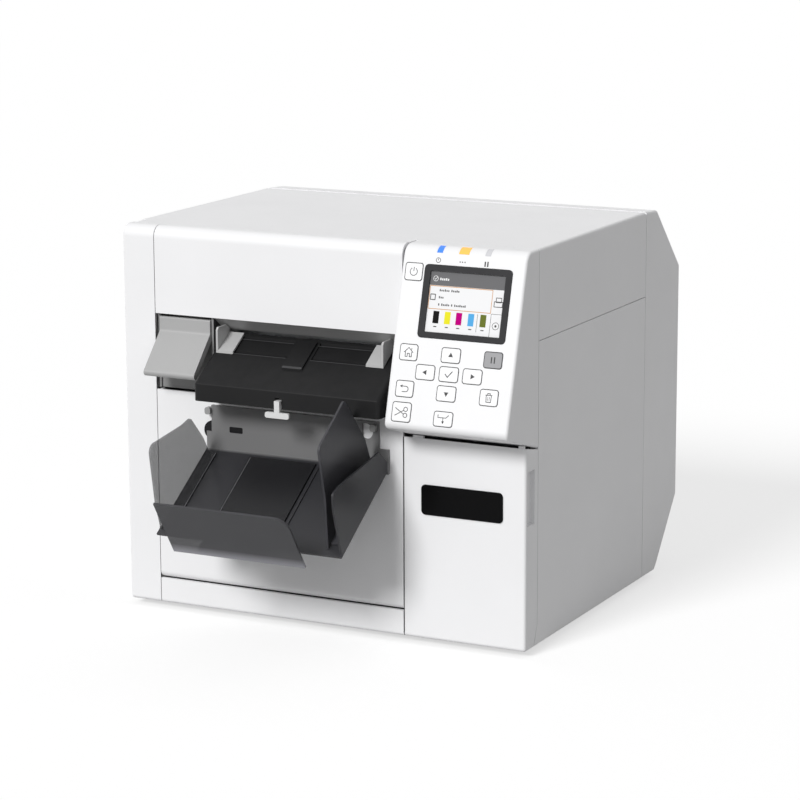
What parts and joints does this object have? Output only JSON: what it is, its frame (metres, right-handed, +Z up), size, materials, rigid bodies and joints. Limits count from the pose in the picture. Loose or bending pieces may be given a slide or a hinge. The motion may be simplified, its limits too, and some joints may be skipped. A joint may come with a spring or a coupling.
{
  "type": "inkjet label printer",
  "caption": "Desktop inkjet label printer with a clamshell lid, slanted key and screen panel, drop-down ink door, swinging roll cover, sliding paper guides and a smoke-grey label bin.",
  "frame": {"origin": "on the desk under the middle of the whole printer's box, bin included", "axes": "+X to the printer's right as seen from its front, +Y to its back, +Z up"},
  "size_m": [0.31, 0.3832, 0.275],
  "materials": {
    "casing_white": "fine moulded texture",
    "key_white": "smooth",
    "key_grey": "smooth",
    "light_grey": "satin",
    "table_black": "fine grain",
    "smoke_plastic": "clear smoke tint",
    "badge_black": "gloss",
    "screen_glass": "gloss",
    "light_guide": "clear light guides in blue, amber and grey",
    "frame_steel": "bright zinc",
    "base_grey": "moulded",
    "foot_rubber": "matte",
    "roller_rubber": "ground",
    "drive_plastic": "moulded",
    "motor_metal": "satin",
    "board_green": "solder mask",
    "label_paper": "paper",
    "ink_plastic": "moulded"
  },
  "bodies": {
    "chassis": {"left_side_cover": "casing_white", "right_side_cover": "casing_white", "rear_cover": "casing_white", "front_sill": "casing_white", "base_tray": "base_grey", "rubber_feet": "foot_rubber", "hinge_pins": "frame_steel", "lever_recess": "light_grey", "label_exit_guide": "light_grey", "side_frames": "frame_steel", "carriage_shaft": "frame_steel", "carriage_drive": "motor_metal", "platen": "frame_steel", "feed_motor": "motor_metal", "cutter_frame": "frame_steel", "roll_saddles": "base_grey", "ink_bay": "base_grey", "ink_cartridges": "ink_plastic", "maintenance_box": "ink_plastic", "mainboard": "board_green", "power_supply": "motor_metal", "rear_sockets": "base_grey"},
    "lid": {"top_cover": "casing_white", "upper_front_panel": "casing_white", "control_panel_housing": "casing_white", "status_lights": "light_guide", "lcd_frame": "badge_black", "lcd_screen": "screen_glass", "key_board": "board_green"},
    "front_cover": {"roll_cover": "casing_white", "ejection_table": "table_black", "bin_tray": "smoke_plastic"},
    "left_guide": {"left_paper_guide": "light_grey"},
    "right_guide": {"right_paper_guide": "light_grey"},
    "lock_lever": {"guide_lock": "light_grey"},
    "bin_left": {"bin_left_wall": "smoke_plastic"},
    "bin_right": {"bin_right_wall": "smoke_plastic"},
    "bin_stop": {"bin_front_stop": "smoke_plastic"},
    "cover_lever": {"release_lever": "light_grey"},
    "door": {"ink_door": "casing_white", "badge_plate": "badge_black"},
    "carriage": {"print_carriage": "base_grey"},
    "feed": {"feed_roller": "roller_rubber"},
    "pinion": {"feed_pinion": "drive_plastic"},
    "pinch": {"pinch_roller": "roller_rubber"},
    "blade": {"moving_blade": "frame_steel"},
    "roll": {"label_roll": "label_paper", "roll_spindle": "drive_plastic"},
    "power_button": {"power_key": "key_white"},
    "home_button": {"home_key": "key_white"},
    "up_button": {"up_key": "key_white"},
    "pause_button": {"pause_key": "key_grey"},
    "left_button": {"left_key": "key_white"},
    "ok_button": {"ok_key": "key_white"},
    "right_button": {"right_key": "key_white"},
    "back_button": {"back_key": "key_white"},
    "down_button": {"down_key": "key_white"},
    "cancel_button": {"cancel_key": "key_white"},
    "cut_button": {"cut_key": "key_white"},
    "feed_button": {"feed_key": "key_white"}
  },
  "joints": [
    {"name": "lid_hinge", "type": "hinge", "parent": "chassis", "child": "lid", "pos_m": [0, 0.12061, 0.271], "axis": [-1, 0, 0], "range_deg": [0, 45]},
    {"name": "roll_cover_hinge", "type": "hinge", "parent": "chassis", "child": "front_cover", "pos_m": [0, -0.07819, 0.0274], "axis": [1, 0, 0], "range_deg": [0, 36]},
    {"name": "left_guide_slide", "type": "slide", "parent": "front_cover", "child": "left_guide", "axis": [1, 0, 0], "range_m": [0, 0.038]},
    {"name": "right_guide_slide", "type": "slide", "parent": "front_cover", "child": "right_guide", "axis": [1, 0, 0], "range_m": [-0.038, 0]},
    {"name": "guide_lock_pivot", "type": "hinge", "parent": "front_cover", "child": "lock_lever", "pos_m": [-0.0155, -0.10644, 0.1654], "axis": [-1, 0, 0], "range_deg": [0, 12]},
    {"name": "bin_left_wall_slide", "type": "slide", "parent": "front_cover", "child": "bin_left", "axis": [1, 0, 0], "range_m": [0, 0.014]},
    {"name": "bin_right_wall_slide", "type": "slide", "parent": "front_cover", "child": "bin_right", "axis": [1, 0, 0], "range_m": [-0.006, 0.004]},
    {"name": "bin_stop_slide", "type": "slide", "parent": "front_cover", "child": "bin_stop", "axis": [0, -0.8338, -0.552], "range_m": [0, 0.01]},
    {"name": "release_lever_pivot", "type": "hinge", "parent": "chassis", "child": "cover_lever", "pos_m": [0, -0.07394, 0.2054], "axis": [1, 0, 0], "range_deg": [0, 12], "stiffness_Nm_per_rad": 0.1, "springref_deg": -5.73},
    {"name": "ink_door_hinge", "type": "hinge", "parent": "chassis", "child": "door", "pos_m": [0, -0.07769, 0.00925], "axis": [1, 0, 0], "range_deg": [0, 85]},
    {"name": "carriage_slide", "type": "slide", "parent": "chassis", "child": "carriage", "axis": [1, 0, 0], "range_m": [-0.2, 0]},
    {"name": "feed_roller_spin", "type": "hinge", "parent": "chassis", "child": "feed", "pos_m": [0, -0.03294, 0.199], "axis": [1, 0, 0], "continuous": true},
    {"name": "feed_pinion_spin", "type": "hinge", "parent": "chassis", "child": "pinion", "pos_m": [0, -0.01871, 0.18203], "axis": [1, 0, 0], "continuous": true},
    {"name": "pinch_roller_spin", "type": "hinge", "parent": "chassis", "child": "pinch", "pos_m": [0, -0.03294, 0.2123], "axis": [1, 0, 0], "continuous": true},
    {"name": "cutter_slide", "type": "slide", "parent": "chassis", "child": "blade", "axis": [0, 0, -1], "range_m": [0, 0.003]},
    {"name": "label_roll_spin", "type": "hinge", "parent": "chassis", "child": "roll", "pos_m": [0, 0.00106, 0.084], "axis": [1, 0, 0], "continuous": true},
    {"name": "power_key_press", "type": "slide", "parent": "lid", "child": "power_button", "axis": [0, 0.9638, -0.2666], "range_m": [0, 0.0008], "stiffness_N_per_m": 250, "springref_m": -0.0008},
    {"name": "home_key_press", "type": "slide", "parent": "lid", "child": "home_button", "axis": [0, 0.9638, -0.2666], "range_m": [0, 0.0008], "stiffness_N_per_m": 250, "springref_m": -0.0008},
    {"name": "up_key_press", "type": "slide", "parent": "lid", "child": "up_button", "axis": [0, 0.9638, -0.2666], "range_m": [0, 0.0008], "stiffness_N_per_m": 250, "springref_m": -0.0008},
    {"name": "pause_key_press", "type": "slide", "parent": "lid", "child": "pause_button", "axis": [0, 0.9638, -0.2666], "range_m": [0, 0.0008], "stiffness_N_per_m": 250, "springref_m": -0.0008},
    {"name": "left_key_press", "type": "slide", "parent": "lid", "child": "left_button", "axis": [0, 0.9638, -0.2666], "range_m": [0, 0.0008], "stiffness_N_per_m": 250, "springref_m": -0.0008},
    {"name": "ok_key_press", "type": "slide", "parent": "lid", "child": "ok_button", "axis": [0, 0.9638, -0.2666], "range_m": [0, 0.0008], "stiffness_N_per_m": 250, "springref_m": -0.0008},
    {"name": "right_key_press", "type": "slide", "parent": "lid", "child": "right_button", "axis": [0, 0.9638, -0.2666], "range_m": [0, 0.0008], "stiffness_N_per_m": 250, "springref_m": -0.0008},
    {"name": "back_key_press", "type": "slide", "parent": "lid", "child": "back_button", "axis": [0, 0.9638, -0.2666], "range_m": [0, 0.0008], "stiffness_N_per_m": 250, "springref_m": -0.0008},
    {"name": "down_key_press", "type": "slide", "parent": "lid", "child": "down_button", "axis": [0, 0.9638, -0.2666], "range_m": [0, 0.0008], "stiffness_N_per_m": 250, "springref_m": -0.0008},
    {"name": "cancel_key_press", "type": "slide", "parent": "lid", "child": "cancel_button", "axis": [0, 0.9638, -0.2666], "range_m": [0, 0.0008], "stiffness_N_per_m": 250, "springref_m": -0.0008},
    {"name": "cut_key_press", "type": "slide", "parent": "lid", "child": "cut_button", "axis": [0, 0.9638, -0.2666], "range_m": [0, 0.0008], "stiffness_N_per_m": 250, "springref_m": -0.0008},
    {"name": "feed_key_press", "type": "slide", "parent": "lid", "child": "feed_button", "axis": [0, 0.9638, -0.2666], "range_m": [0, 0.0008], "stiffness_N_per_m": 250, "springref_m": -0.0008}
  ],
  "couplings": [
    {"joint": "right_guide_slide", "follows": "left_guide_slide", "ratio": -1},
    {"joint": "feed_pinion_spin", "follows": "feed_roller_spin", "ratio": -2.6667},
    {"joint": "pinch_roller_spin", "follows": "feed_roller_spin", "ratio": -1.6}
  ]
}
